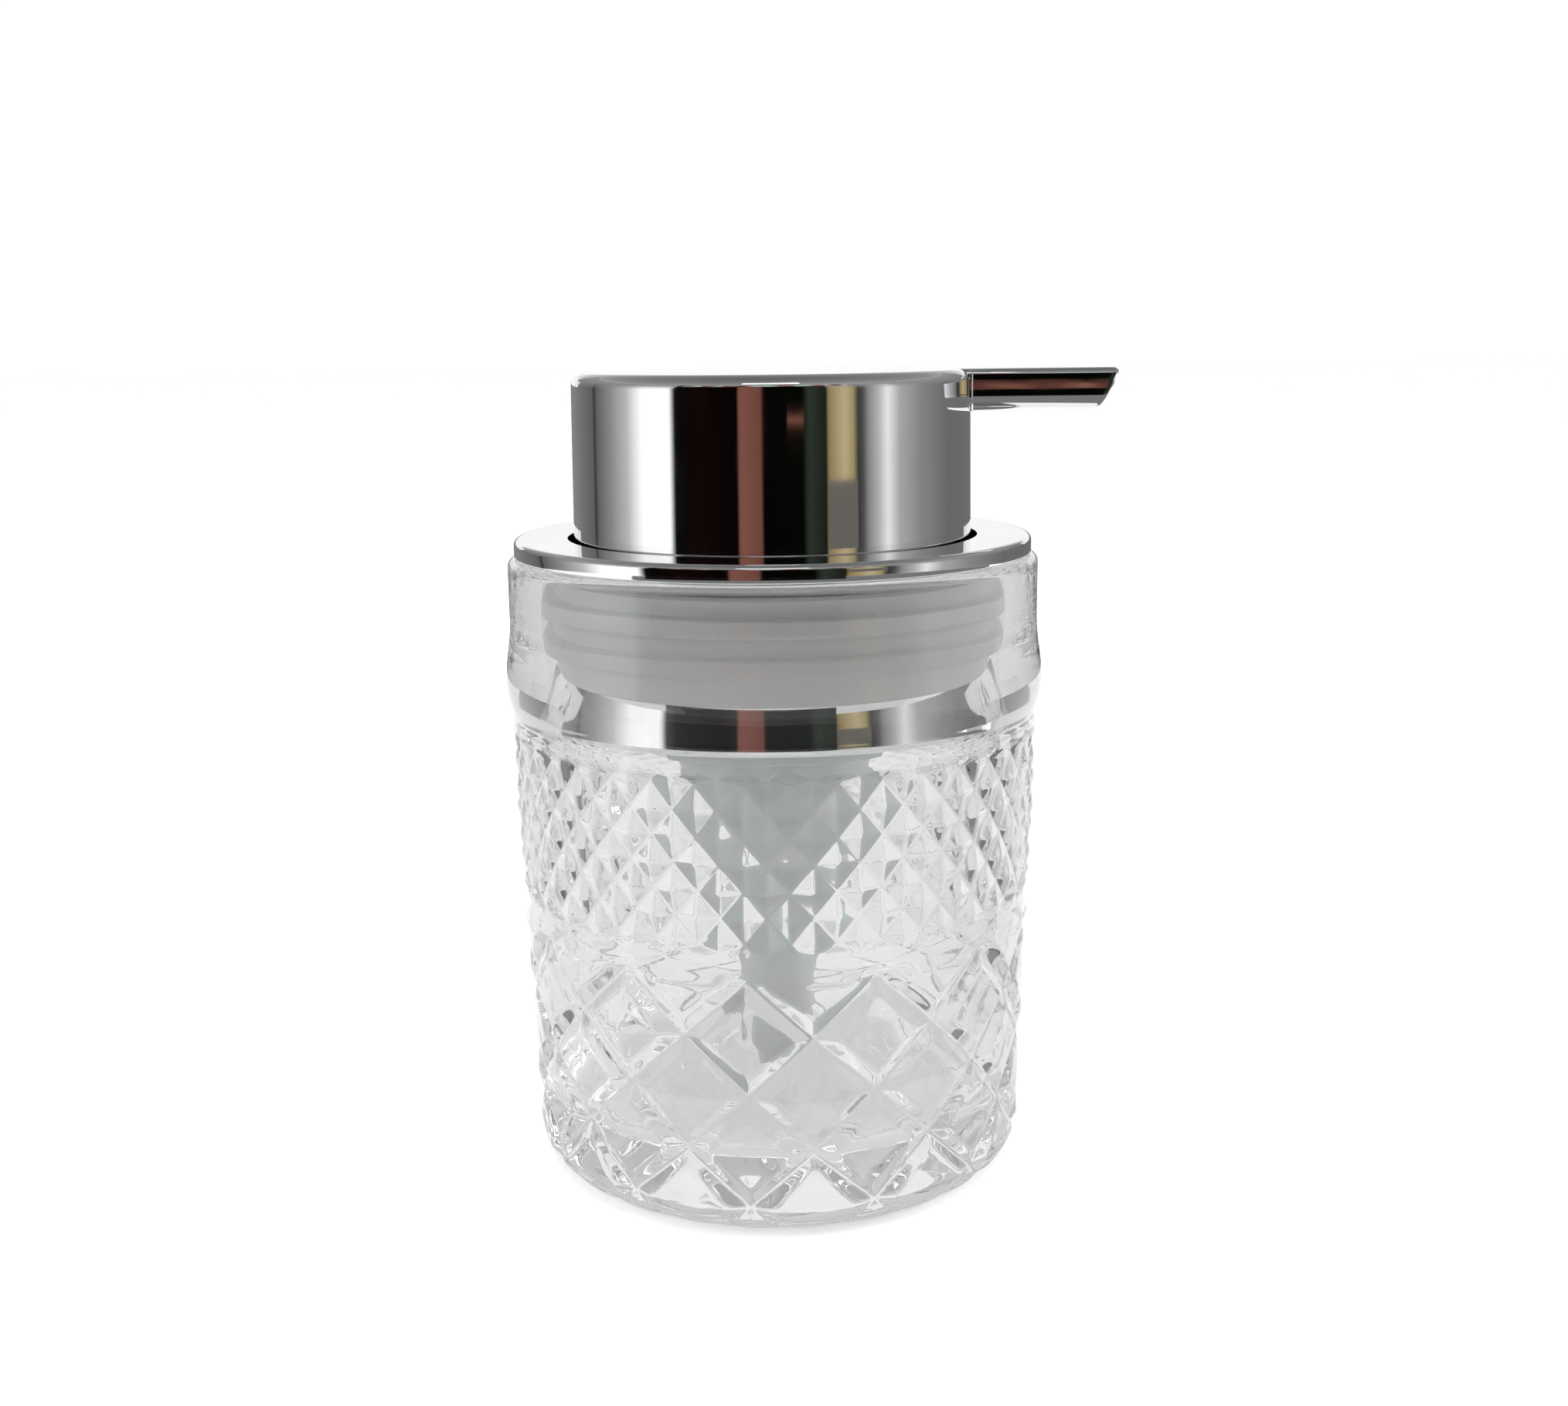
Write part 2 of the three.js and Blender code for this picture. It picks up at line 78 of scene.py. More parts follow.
JAR_TOP = top("glass_jar")
FLANGE_R = radius("chrome_cup")
FLANGE_TOP = top("chrome_cup")
FLANGE_BOTTOM = JAR_TOP + 0.3
CUP_BOTTOM = bottom("chrome_cup")
CUP_R = FLANGE_R - 6.2
CUP_WALL = 1.3
HEAD_R = radius("press_head")
HEAD_TOP_R = HEAD_R - 0.25      # the drum narrows slightly towards its top
HEAD_TOP = top("press_head")
HEAD_BOTTOM = bottom("press_head")
SPOUT_REACH = extents("spout")[1][0]
SPOUT_HALF = radius("spout")
SPOUT_BOTTOM = bottom("spout")
SPOUT_DROP = 0.02       # keeps the spout's top face just under the drum's
SEAL_R = radius("mouth_seal")
SEAL_BOTTOM = bottom("mouth_seal")
SEAL_TOP = top("mouth_seal")
HOUSING_BOTTOM = bottom("pump_housing")
HOUSING_TOP = top("pump_housing")
HOUSING_FLANGE_R = radius("pump_housing")
CHAMBER_R = radius("guide_cap") - 1.5


# ---- Mesh helpers ----
def mesh_piece(name, verts, faces, sharp_deg=35):
    """A smooth-shaded object from points in millimetres. Edges steeper than sharp_deg stay sharp."""
    mesh = bpy.data.meshes.new(name)
    mesh.from_pydata([tuple(v) for v in np.asarray(verts) * MM], [], faces)
    mesh.validate()
    mesh.shade_smooth()
    mesh.set_sharp_from_angle(angle=math.radians(sharp_deg))
    obj = bpy.data.objects.new(name, mesh)
    bpy.context.scene.collection.objects.link(obj)
    return obj


def arc(centre_r, centre_z, r, from_deg, to_deg, steps=6):
    """Points of a round corner in (radius, height)."""
    angles = np.radians(np.linspace(from_deg, to_deg, steps + 1))
    return [(centre_r + r * math.cos(a), centre_z + r * math.sin(a)) for a in angles]


def around(count, phase=0.0):
    """Azimuths around Z, measured from -Y towards +X."""
    return phase + np.arange(count) * 2 * math.pi / count


def ring_points(angles, r, z):
    r = np.broadcast_to(r, angles.shape)
    z = np.broadcast_to(z, angles.shape)
    return np.stack([r * np.sin(angles), -r * np.cos(angles), z], axis=1)


class Skin:
    """Rings of points joined one above the other into one surface."""

    def __init__(self):
        self.verts = []
        self.faces = []
        self.count = 0

    def add(self, points):
        """Adds a ring and returns the range of its vertices."""
        start = self.count
        self.verts.append(points)
        self.count += len(points)
        return range(start, self.count)

    def quads(self, below, above, slash=None):
        """Joins two rings of the same size. slash(k) turns each diagonal one way or the other."""
        n = len(below)
        for k in range(n):
            a, b = below[k], below[(k + 1) % n]
            c, d = above[(k + 1) % n], above[k]
            if slash is None:
                self.faces.append((a, b, c, d))
            elif slash(k):
                self.faces += [(a, b, c), (a, c, d)]
            else:
                self.faces += [(a, b, d), (b, c, d)]

    def zip(self, below, above, angles_below, angles_above):
        """Joins two rings of different sizes with triangles."""
        i = j = 0
        n, m = len(below), len(above)
        turn = 2 * math.pi
        shift = np.argmin(np.abs(angles_above - angles_below[0]))
        above = [above[(k + shift) % m] for k in range(m)]
        upper = np.unwrap(np.roll(angles_above, -shift))
        upper = upper - turn * round((upper[0] - angles_below[0]) / turn)
        while i < n or j < m:
            next_low = angles_below[0] + turn * (i + 1) / n
            next_up = upper[0] + turn * (j + 1) / m
            if j >= m or (i < n and next_low <= next_up):
                self.faces.append((below[i % n], below[(i + 1) % n], above[j % m]))
                i += 1
            else:
                self.faces.append((below[i % n], above[(j + 1) % m], above[j % m]))
                j += 1

    def cap(self, ring, centre, up):
        """Closes a ring with a fan to one point."""
        middle = self.add(np.array([centre]))[0]
        n = len(ring)
        for k in range(n):
            a, b = ring[k], ring[(k + 1) % n]
            self.faces.append((a, b, middle) if up else (b, a, middle))

    def piece(self, name, sharp_deg):
        return mesh_piece(name, np.concatenate(self.verts), self.faces, sharp_deg)


def held(outline, closed, inset=0.35, longest=1.6):
    """Adds a point near both ends of each long stretch, so that smooth shading stays in the corners."""
    points = []
    ends = outline[1:] + outline[:1] if closed else outline[1:]
    for (r0, z0), (r1, z1) in zip(outline, ends):
        points.append((r0, z0))
        length = math.hypot(r1 - r0, z1 - z0)
        if length > longest:
            for share in (inset / length, 1 - inset / length):
                points.append((r0 + (r1 - r0) * share, z0 + (z1 - z0) * share))
    return points if closed else points + outline[-1:]


def turned(name, outline, sharp_deg=35):
    """Turns an anticlockwise outline in (radius, height) around Z, closed or with both ends on the axis."""
    skin = Skin()
    angles = around(SEGMENTS)
    on_axis = outline[0][0] == 0
    walls = held(outline[1:-1], closed=False) if on_axis else held(outline, closed=True)
    rings = [skin.add(ring_points(angles, r, z)) for r, z in walls]
    for below, above in zip(rings, rings[1:]):
        skin.quads(below, above)
    if on_axis:
        skin.cap(rings[0], (0, 0, outline[0][1]), up=False)
        skin.cap(rings[-1], (0, 0, outline[-1][1]), up=True)
    else:
        skin.quads(rings[-1], rings[0])
    return skin.piece(name, sharp_deg)


# ---- Glass jar ----
BASE_R = 35.5
BASE_CORNER = 5.0
MOUTH_R = 33.4
INNER_BASE_R = 31.4
FLOOR = 9.0
FLOOR_CORNER = 6.0
SEAM_AZIMUTH = math.radians(-6.4)      # the mould's parting line, and its twin behind
SEAM_HEIGHT = 0.07
SEAM_WIDTH = 0.3


def smoothstep(x, low, high):
    t = np.clip((x - low) / (high - low), 0, 1)
    return t * t * (3 - 2 * t)


def soft_min(a, b, width):
    """The smaller of two values, with a round turn from one to the other."""
    blend = np.clip(0.5 + 0.5 * (b - a) / width, 0, 1)
    return b + (a - b) * blend - width * blend * (1 - blend)


class DiamondBand:
    """A band of cut diamonds: V-grooves along both diagonals of a grid of half cells."""

    def __init__(self, periods, row_height, first_row, odd, phase_deg, divisions, groove_depth, bevel):
        self.half_angle = math.pi / periods
        self.row_height = row_height
        self.first_row = first_row
        self.odd = odd
        self.phase = math.radians(phase_deg)
        self.divisions = divisions
        self.groove_depth = groove_depth
        self.bevel = bevel
        self.count = 2 * periods * divisions
        self.step = row_height / divisions
        self.angles = around(self.count, self.phase % (2 * math.pi / self.count))

    def grid(self, angle, v):
        return (angle - self.phase) / self.half_angle, (v - self.first_row) / self.row_height

    def height(self, angle, v):
        """0 along the grooves and 1 on the faces, with bevels between and every ridge a little rounded."""
        a, b = self.grid(angle, v)
        rising, falling = [1 - np.abs((a + b * sign + self.odd) % 2 - 1) for sign in (1, -1)]
        return soft_min(soft_min(rising, falling, 0.12) / self.bevel, 1, 0.3)

    def crown(self, angle, v):
        """How far a flat face lies under the round envelope: 0 at its side corners, 1 at its middle."""
        a, b = self.grid(angle, v)
        centre = sum(2 * np.floor((a + b * sign + self.odd) / 2) + 1 for sign in (1, -1)) / 2 - self.odd
        return 1 - np.clip((a - centre) / (1 - self.bevel), -1, 1) ** 2

    def slash(self, v_mid):
        """For each column, whether the groove rises to the right in the half cell at that level."""
        half_column = math.pi / self.count
        a, b = self.grid(self.angles + half_column, v_mid)
        return (np.floor(a) + np.floor(b) + self.odd) % 2 == 0


SMALL = DiamondBand(periods=38, row_height=3.48, first_row=41.1, odd=1, phase_deg=-2.0,
                    divisions=8, groove_depth=0.74, bevel=1.0)
LARGE = DiamondBand(periods=13, row_height=7.95, first_row=35.96 - 4 * 7.95, odd=0, phase_deg=-6.4,
                    divisions=16, groove_depth=1.15, bevel=5 / 16)
FACE_SAG = 0.3          # how far the middle of a large diamond's face lies under the round outline
GROOVE_Z = 38.2
SMALL_TOP = 63.6
NECK_R = 37.05
ENVELOPE = (
    # height and outer radius, from the base over both bands
    (BASE_CORNER, BASE_R), (14, BASE_R + 0.15), (35.2, 36.55), (36.6, 36.2), (37.2, 36.05),
    (39.2, 36.05), (39.8, 36.2), (41, 36.6), (52, 37.15), (SMALL_TOP, 37.15),
)
NECK = [
    # radius and height, from the top of the small diamonds over the bulge to the straight neck
    (37.0, 64.2), (36.92, 64.8), (36.98, 65.4), (37.18, 66.2), (37.45, 67.0),
    (37.68, 67.9), (37.8, 68.8), (37.85, 69.8), (37.83, 70.8), (37.72, 72),
    (37.5, 73.5), (37.28, 75), (37.12, 76.5), (NECK_R, 78), (NECK_R, 82),
]


def envelope(v):
    """Outer radius over the bands, where v is the height, or the way down along the base corner."""
    return np.interp(v, *zip(*ENVELOPE))


def band_ring(band, v, depth):
    """One ring of a band's outer skin, pushed in along the outline's normal."""
    angles = band.angles
    above_base = smoothstep(v, 0, BASE_CORNER)
    from_seam = np.sin(angles - SEAM_AZIMUTH) * BASE_R / SEAM_WIDTH
    seam = SEAM_HEIGHT * np.exp(-(from_seam ** 2)) * above_base
    push = depth * (1 - band.height(angles, v)) - seam
    if band is LARGE:
        push = push + FACE_SAG * band.crown(angles, v) * band.height(angles, v) * above_base
    if v >= BASE_CORNER:
        return ring_points(angles, envelope(v) - push, v)
    turn = (BASE_CORNER - v) / BASE_CORNER
    r = BASE_R - BASE_CORNER + (BASE_CORNER - push) * math.cos(turn)
    z = BASE_CORNER - (BASE_CORNER - push) * math.sin(turn)
    return ring_points(angles, r, z)


def band_skin(skin, band, levels, depths):
    """Adds the band's rings from the bottom up and returns the first and the last."""
    first = ring = skin.add(band_ring(band, levels[0], depths[0]))
    for i in range(1, len(levels)):
        above = skin.add(band_ring(band, levels[i], depths[i]))
        slash = band.slash((levels[i] + levels[i - 1]) / 2)
        skin.quads(ring, above, lambda k: slash[k])
        ring = above
    return first, ring


def ripple(angles, z):
    """The slight unevenness of the inside wall, which a plunger pressed. It is rougher towards the floor."""
    waves = 0
    for turns, height, amount, shift in ((5, 23, 0.05, 0.4), (9, -17, 0.04, 1.9), (14, 11, 0.035, 3.1),
                                         (23, -8, 0.03, 5.2), (31, 6.5, 0.02, 0.9), (3, 7.3, 0.04, 2.2)):
        waves = waves + amount * np.sin(turns * angles + z * 2 * math.pi / height + shift)
    return waves * (1.6 - smoothstep(z, 14, 46))


def large_band(skin):
    """The underside, the base's corner and the large diamonds. Returns the last ring."""
    corner_end = BASE_CORNER - BASE_CORNER * math.pi / 2
    lowest = -math.floor((LARGE.first_row - corner_end - 0.3) / LARGE.step)
    levels = LARGE.first_row + LARGE.step * np.arange(lowest, 4 * LARGE.divisions + 1)
    depths = LARGE.groove_depth * smoothstep(levels, corner_end, 7)
    first, last = band_skin(skin, LARGE, levels, depths)
    base = skin.add(ring_points(LARGE.angles, BASE_R - BASE_CORNER, 0.0))
    skin.quads(base, first)
    skin.cap(base, (0, 0, 0), up=False)
    return last


def small_band(skin, below_groove):
    """The plain groove and the small diamonds above it. Returns the last ring."""
    groove = [skin.add(ring_points(SMALL.angles, envelope(z), z)) for z in (36.6, 37.2, GROOVE_Z, 39.2)]
    skin.zip(below_groove, groove[0], LARGE.angles, SMALL.angles)
    for below, above in zip(groove, groove[1:]):
        skin.quads(below, above)
    highest = math.floor((SMALL_TOP - SMALL.first_row) / SMALL.step)
    levels = SMALL.first_row + SMALL.step * np.arange(-3, highest + 1)
    fade_in = smoothstep(levels, levels[0] - 0.1, levels[0] + 0.9)
    fade_out = 1 - smoothstep(levels, SMALL_TOP - 1.6, SMALL_TOP)
    first, last = band_skin(skin, SMALL, levels, SMALL.groove_depth * fade_in * fade_out)
    skin.quads(groove[-1], first)
    return last


def neck_and_rim(skin, below_neck, angles):
    """The bulge, the neck and the rounded rim. Returns the last ring."""
    rim = arc(NECK_R - 1.0, JAR_TOP - 1.0, 1.0, 0, 90) + arc(MOUTH_R + 0.6, JAR_TOP - 0.6, 0.6, 90, 180)
    ring = None
    for r, z in NECK + rim:
        above = skin.add(ring_points(angles, r, z))
        if ring is None:
            skin.zip(below_neck, above, SMALL.angles, angles)
        else:
            skin.quads(ring, above)
        ring = above
    return ring


def cavity(skin, ring, angles):
    """The inside wall from the rim down and the floor."""
    for z in np.linspace(JAR_TOP - 2, FLOOR + FLOOR_CORNER, 60):
        wall_r = np.interp(z, [FLOOR + FLOOR_CORNER, JAR_TOP - 0.6], [INNER_BASE_R, MOUTH_R])
        calm = 1 - smoothstep(z, 60, 68)
        above = skin.add(ring_points(angles, wall_r - ripple(angles, z) * calm, z))
        skin.quads(ring, above)
        ring = above
    corner = arc(INNER_BASE_R - FLOOR_CORNER, FLOOR + FLOOR_CORNER, FLOOR_CORNER, 0, -90, 8)
    for r, z in corner[1:] + [(12, FLOOR), (4, FLOOR)]:
        above = skin.add(ring_points(angles, r - ripple(angles, z) * min(1, r / 20), z))
        skin.quads(ring, above)
        ring = above
    skin.cap(ring, (0, 0, FLOOR), up=True)


def glass_jar():
    skin = Skin()
    angles = around(SEGMENTS)
    rim = neck_and_rim(skin, small_band(skin, large_band(skin)), angles)
    cavity(skin, rim, angles)
    return skin.piece("cut_glass_jar", 180)


# ---- Chrome pieces ----
def chrome_cup():
    edge = 0.8
    low_edge = 0.3
    lip = 0.15
    inner_r = CUP_R - CUP_WALL
    floor = CUP_BOTTOM + CUP_WALL
    hole_r = CHAMBER_R + 0.7
    outline = [(hole_r, CUP_BOTTOM)]
    outline += arc(CUP_R - 1.2, CUP_BOTTOM + 1.2, 1.2, -90, 0)
    outline += arc(CUP_R + 0.5, FLANGE_BOTTOM - 0.5, 0.5, 180, 90, 3)
    outline += arc(FLANGE_R - low_edge, FLANGE_BOTTOM + low_edge, low_edge, -90, 0, 4)
    outline += arc(FLANGE_R - edge, FLANGE_TOP - edge, edge, 0, 90, 12)
    outline += arc(inner_r + lip, FLANGE_TOP - lip, lip, 90, 180)
    outline += arc(inner_r - 1.0, floor + 1.0, 1.0, 0, -90)
    outline += [(hole_r, floor)]
    return turned("chrome_cup_shell", outline)


def press_drum():
    edge = 1.8
    wall = 1.2
    ceiling = HEAD_TOP - 1
    outline = [(0, ceiling), (4, ceiling), (HEAD_R - wall, ceiling), (HEAD_R - wall, HEAD_BOTTOM + wall)]
    outline += arc(HEAD_R - wall / 2, HEAD_BOTTOM + 0.6, wall / 2, 180, 360)
    outline += [(HEAD_R, FLANGE_TOP)]
    outline += arc(HEAD_TOP_R - edge, HEAD_TOP - edge, edge, 0, 90, 12)
    outline += [(HEAD_TOP_R - edge - 1, HEAD_TOP), (12, HEAD_TOP), (3, HEAD_TOP), (0, HEAD_TOP)]
    return turned("press_head_drum", outline)


def spout_section(grow):
    """The spout's outline across X as (y, z), starting at the middle of the underside."""
    half = SPOUT_HALF + grow
    low = SPOUT_BOTTOM - grow
    high = HEAD_TOP - SPOUT_DROP + min(grow, 0)
    under_round = 2.4
    top_round = 0.9
    side = arc(half - under_round, low + under_round, under_round, -90, 0, 16)
    side += [(half, z) for z in np.linspace(low + under_round, high - top_round, 5)[1:-1]]
    side += arc(half - top_round, high - top_round, top_round, 0, 90, 8)
    side += [(half - top_round - 0.5, high), (0.6, high)]
    return np.array([(0, low)] + side + [(0, high)] + [(-y, z) for y, z in reversed(side)])


def spout_tip(z):
    """How far the tip reaches at each height: a thin lip on top, cut back below it."""
    heights = [SPOUT_BOTTOM, SPOUT_BOTTOM + 0.4] + [HEAD_TOP - below for below in (2.2, 1.2, 0.8, 0.4, 0)]
    setback = [2.8, 2.35, 0.6, 0.6, 0.1, 0, 0.35]
    return SPOUT_REACH - np.interp(z, heights, setback)


def spout_arm():
    edge = 0.25
    bore_r = 2.0
    bore_z = HEAD_TOP - 3.2
    first_station = 30.0
    skin = Skin()

    def ring_on_drum(off, grow):
        """A ring that follows the drum's wall, off millimetres outside it."""
        yz = spout_section(grow)
        return skin.add(np.column_stack([np.sqrt((HEAD_TOP_R + off) ** 2 - yz[:, 0] ** 2), yz]))

    def ring_along(share, grow=0.0, setback=0.0):
        """A ring between the first station and the tip."""
        yz = spout_section(grow)
        x = first_station + (spout_tip(yz[:, 1]) - setback - first_station) * share
        return skin.add(np.column_stack([x, yz]))

    collar = 0.14
    root = ((-1.7, 0), (-0.1, 0), (0.0, collar), (0.22, collar), (0.4, 0))
    rings = [ring_on_drum(off, grow) for off, grow in root]
    rings += [ring_along(share) for share in np.linspace(0, 0.95, 10)]
    for turn in np.radians([0, 30, 60, 90]):
        rings.append(ring_along(1, -edge * (1 - math.cos(turn)), edge * (1 - math.sin(turn))))
    for back, front in zip(rings, rings[1:]):
        skin.quads(back, front)

    section = spout_section(-edge)
    lean = np.arctan2(section[:, 0], bore_z - section[:, 1])
    bore = np.column_stack([bore_r * np.sin(lean), bore_z - bore_r * np.cos(lean)])
    face = rings[-1]
    for share in np.linspace(0, 1, 7)[1:]:
        yz = section + (bore - section) * share
        inner = skin.add(np.column_stack([spout_tip(yz[:, 1]), yz]))
        skin.quads(face, inner)
        face = inner
    for x in (SPOUT_REACH - 5, HEAD_R - 1.7):
        inner = skin.add(np.column_stack([np.full(len(bore), x), bore]))
        skin.quads(face, inner)
        face = inner
    skin.quads(face, rings[0])
    return skin.piece("spout_arm", 30)


# ---- Plastic pieces ----
def rib_seal():
    """The plug between the cup and the glass, with two wide ribs."""
    inner_r = CUP_R + 0.3
    body_r = 31.2
    rib_r = SEAL_R
    rib_height = 2.9
    rib_pitch = 5.15
    first_rib = SEAL_BOTTOM + 3.6
    outline = [(inner_r, SEAL_BOTTOM), (body_r - 0.6, SEAL_BOTTOM)]
    outline += arc(body_r - 0.5, SEAL_BOTTOM + 0.5, 0.5, -80, 0, 4)
    for i in range(2):
        z = first_rib + rib_pitch * i
        outline += [(body_r, z - 0.2), (body_r + 0.15, z + 0.08)]
        outline += arc(rib_r - 0.6, z + 1.0, 0.6, -55, 0, 4)
        outline += arc(rib_r - 0.3, z + rib_height - 0.35, 0.3, 0, 80, 4)
        outline += [(body_r + 0.25, z + rib_height), (body_r, z + rib_height + 0.15)]
    outline += [(body_r, SEAL_TOP - 0.3), (body_r - 0.3, SEAL_TOP), (inner_r, SEAL_TOP)]
    return turned("ribbed_mouth_seal", outline)


def clamp_ring():
    inner_r = CHAMBER_R + 0.3
    outer_r, low, high = radius("clamp_ring"), bottom("clamp_ring"), top("clamp_ring")
    outline = [(inner_r, low)] + arc(outer_r - 0.8, low + 0.8, 0.8, -90, 0, 8)
    outline += arc(outer_r - 0.3, high - 0.3, 0.3, 0, 90, 4) + [(inner_r, high)]
    return turned("clamp_ring_shell", outline)


def chamber_floor(inner_r, low, outer_r, high, steps=14):
    """The rounded floor of the air chamber, as a quarter of an ellipse from the inside up to the wall."""
    angles = np.linspace(-math.pi / 2, 0, steps + 1)
    return [(inner_r + (outer_r - inner_r) * math.cos(a), high + (high - low) * math.sin(a)) for a in angles]


def pump_housing():
    wall = 1.2
    cylinder_r = 5.6
    bore_r = cylinder_r - wall
    cylinder_bottom = HOUSING_BOTTOM + 5.5
    cylinder_top = HOUSING_BOTTOM + 23.7
    floor_top = HOUSING_BOTTOM + 35
    sleeve_top = HOUSING_BOTTOM + 35.7
    flange_bottom = HOUSING_TOP - 8.1
    flange_top = flange_bottom + 1.6
    nozzle_r = 4.4
    socket_r = radius("dip_tube") + 0.3
    seat_low = HOUSING_BOTTOM + 5.7
    seat_high = seat_low + 2.2
    seat_r = 1.1
    cone_r = 2.6
    edge = 0.2
    outline = [(socket_r, HOUSING_BOTTOM)]
    outline += [(nozzle_r - edge, HOUSING_BOTTOM), (nozzle_r, HOUSING_BOTTOM + edge)]
    outline += arc(nozzle_r + edge, cylinder_bottom - edge, edge, 180, 90, 3)
    outline += arc(cylinder_r - 0.8, cylinder_bottom + 0.8, 0.8, -90, 0)
    outline += [(cylinder_r, cylinder_top - 0.4)]
    outline += chamber_floor(cylinder_r, cylinder_top, CHAMBER_R, floor_top)[1:]
    outline += [(CHAMBER_R, flange_bottom)]
    outline += [(HOUSING_FLANGE_R - edge, flange_bottom), (HOUSING_FLANGE_R, flange_bottom + edge)]
    outline += [(HOUSING_FLANGE_R, flange_top - edge), (HOUSING_FLANGE_R - edge, flange_top)]
    outline += [(CHAMBER_R, flange_top), (CHAMBER_R, HOUSING_TOP - edge)]
    outline += [(CHAMBER_R - edge, HOUSING_TOP), (CHAMBER_R - wall, HOUSING_TOP)]
    outline += chamber_floor(cylinder_r, cylinder_top + wall + 0.3, CHAMBER_R - wall, floor_top)[::-1]
    outline += [(cylinder_r, sleeve_top), (bore_r, sleeve_top), (bore_r, seat_high), (cone_r, seat_high)]
    outline += [(seat_r, seat_low), (seat_r, seat_low - 0.8), (socket_r, seat_low - 0.8)]
    return turned("pump_housing_shell", outline, 40)


def guide_cap():
    wiper_r = 5.2
    inner_r = CHAMBER_R + 0.3
    outer_r, low, high = radius("guide_cap"), bottom("guide_cap"), top("guide_cap")
    ceiling = HOUSING_TOP + 0.3
    outline = [(wiper_r, ceiling), (inner_r, ceiling), (inner_r, low), (outer_r - 0.2, low)]
    outline += [(outer_r, low + 0.2)] + arc(outer_r - 0.5, high - 0.5, 0.5, 0, 90) + [(wiper_r, high)]
    return turned("guide_cap_shell", outline)


def dip_tube():
    """A tube with its foot cut at a slant."""
    outer_r, low, high = radius("dip_tube"), bottom("dip_tube"), top("dip_tube")
    inner_r = outer_r - 0.8
    slant = math.tan(math.radians(32))
    skin = Skin()
    angles = around(64)

    def foot(r):
        return skin.add(ring_points(angles, r, low + (outer_r + r * np.sin(angles)) * slant))

    rings = [foot(inner_r), foot(inner_r + 0.1), foot(outer_r - 0.1), foot(outer_r)]
    rings += [skin.add(ring_points(angles, r, high)) for r in (outer_r, inner_r)]
    for below, above in zip(rings, rings[1:] + rings[:1]):
        skin.quads(below, above)
    return skin.piece("slant_dip_tube", 35)


def return_spring():
    """A coil of round wire that stands on the inlet's cage and carries the liquid piston."""
    turns = 6
    wire_r = 0.4
    coil_r = radius("return_spring") - wire_r
    low = bottom("return_spring") + wire_r
    rise = top("return_spring") - wire_r - low
    around_wire = around(12)
    skin = Skin()
    rings = []
    for share in np.linspace(0, 1, turns * 32 + 1):
        turn = 2 * math.pi * turns * share
        outward = coil_r + wire_r * np.cos(around_wire)
        height = low + rise * share + wire_r * np.sin(around_wire)
        place = [outward * math.cos(turn), outward * math.sin(turn), height]
        rings.append(skin.add(np.stack(place, axis=1)))
    for ring, following in zip(rings, rings[1:]):
        skin.quads(following, ring)
    skin.faces += [tuple(rings[0]), tuple(reversed(rings[-1]))]
    return skin.piece("coil_return_spring", 35)


# ---- Materials ----
class Paint:
    """A Principled material whose texture coordinates are the object's own, in metres."""

    def __init__(self, name, **constants):
        self.material = bpy.data.materials.new(name)
        self.material.use_nodes = True
        self.tree = self.material.node_tree
        self.shader = self.tree.nodes["Principled BSDF"]
        for socket, value in constants.items():
            self.shader.inputs[socket.replace("_", " ")].default_value = value
        self.place = self.tree.nodes.new("ShaderNodeTexCoord").outputs["Object"]
        self.height = None

    def noise(self, size_mm, detail=2.0, stretch=(1, 1, 1)):
        """Noise with features of about this size, drawn out along the axes by stretch."""
        mapping = self.tree.nodes.new("ShaderNodeMapping")
        mapping.inputs["Scale"].default_value = [1 / s for s in stretch]
        self.tree.links.new(self.place, mapping.inputs["Vector"])
        texture = self.tree.nodes.new("ShaderNodeTexNoise")
        texture.inputs["Scale"].default_value = 1 / (size_mm * MM)
        texture.inputs["Detail"].default_value = detail
        self.tree.links.new(mapping.outputs["Vector"], texture.inputs["Vector"])
        return texture.outputs["Fac"]

    def between(self, value, low, high, from_low=0.3, from_high=0.7):
        node = self.tree.nodes.new("ShaderNodeMapRange")
        limits = {"From Min": from_low, "From Max": from_high, "To Min": low, "To Max": high}
        for socket, number in limits.items():
            node.inputs[socket].default_value = number
        self.tree.links.new(value, node.inputs["Value"])
        return node.outputs["Result"]

    def colours(self, value, dark, light):
        node = self.tree.nodes.new("ShaderNodeMix")
        node.data_type = "RGBA"
        node.inputs["A"].default_value = (*dark, 1)
        node.inputs["B"].default_value = (*light, 1)
        self.tree.links.new(self.between(value, 0, 1), node.inputs["Factor"])
        self.tree.links.new(node.outputs["Result"], self.shader.inputs["Base Color"])

    def roughness(self, value, low, high):
        self.tree.links.new(self.between(value, low, high), self.shader.inputs["Roughness"])

    def bump(self, value, height_mm):
        """Adds relief of this height. Several calls add up."""
        node = self.tree.nodes.new("ShaderNodeBump")
        node.inputs["Distance"].default_value = height_mm * MM
        self.tree.links.new(value, node.inputs["Height"])
        if self.height:
            self.tree.links.new(self.height, node.inputs["Normal"])
        self.height = node.outputs["Normal"]
        self.tree.links.new(self.height, self.shader.inputs["Normal"])


def clear_glass():
    """Pressed soda glass: faint flow ripples from the mould and a few soft patches of haze."""
    paint = Paint("pressed_glass", IOR=1.5, Transmission_Weight=1.0)
    paint.colours(paint.noise(30), (0.965, 0.966, 0.966), (0.980, 0.980, 0.980))
    paint.roughness(paint.noise(9, 3), 0.0, 0.02)
    paint.bump(paint.noise(6, 2, (1, 1, 1.6)), 0.02)
    return paint.material


